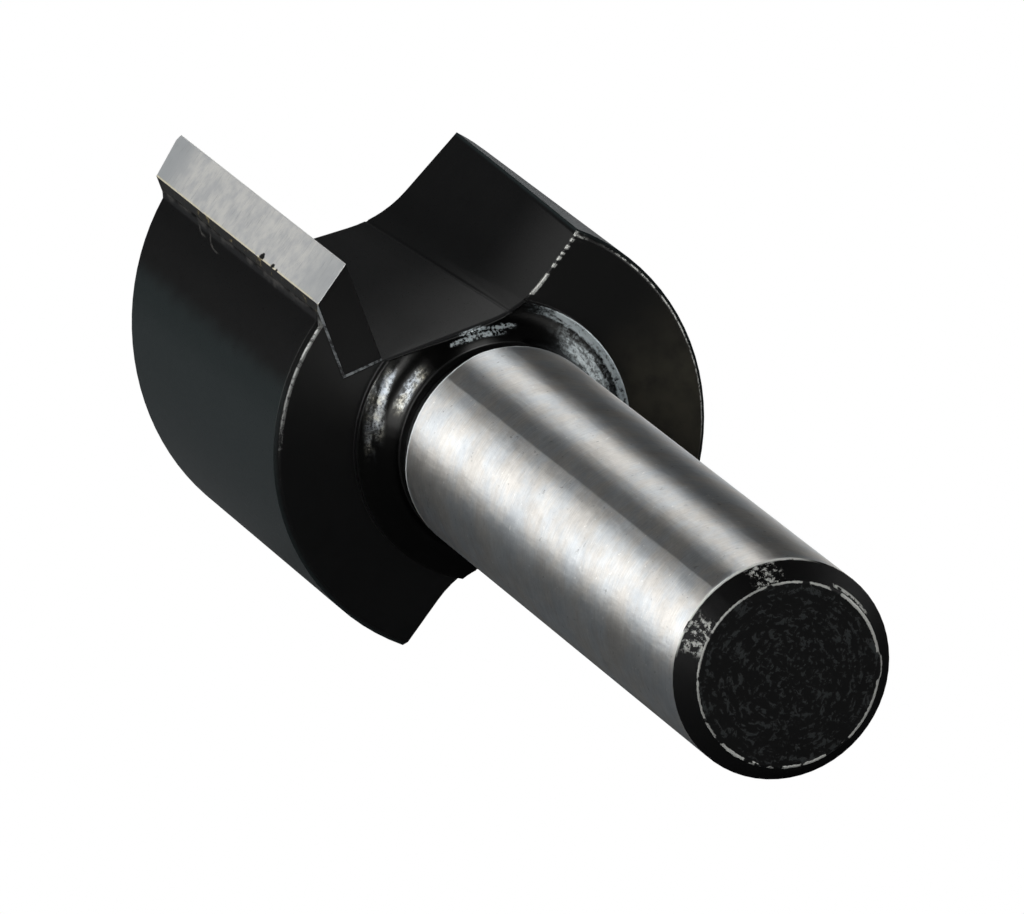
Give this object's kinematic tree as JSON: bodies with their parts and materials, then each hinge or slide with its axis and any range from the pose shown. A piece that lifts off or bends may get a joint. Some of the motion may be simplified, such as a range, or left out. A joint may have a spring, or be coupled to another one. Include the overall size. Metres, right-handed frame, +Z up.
{
  "type": "router bit",
  "caption": "Straight router bit: two brazed carbide tips in a milled steel head, a turned neck and a plain round ground shank.",
  "frame": {"origin": "on the ground, under the middle of the bit's bounding box as it lies on its side", "axes": "+X along the bit as it lies, towards the shank's end; +Z up; +Y to the left seen along +X"},
  "size_m": [0.0534, 0.0166, 0.0168],
  "materials": {
    "steel": "black oxide on the head, neck, end chamfer and end face, bright cylindrically ground on the shank",
    "carbide": "ground bright on the land behind the cutting edge, dark elsewhere",
    "braze": "solidified braze, mostly covered by the dark coating"
  },
  "bodies": {
    "root": {"body": "steel", "carbide_tip_1": "carbide", "carbide_tip_2": "carbide", "braze_joint_1": "braze", "braze_joint_2": "braze"}
  },
  "joints": []
}
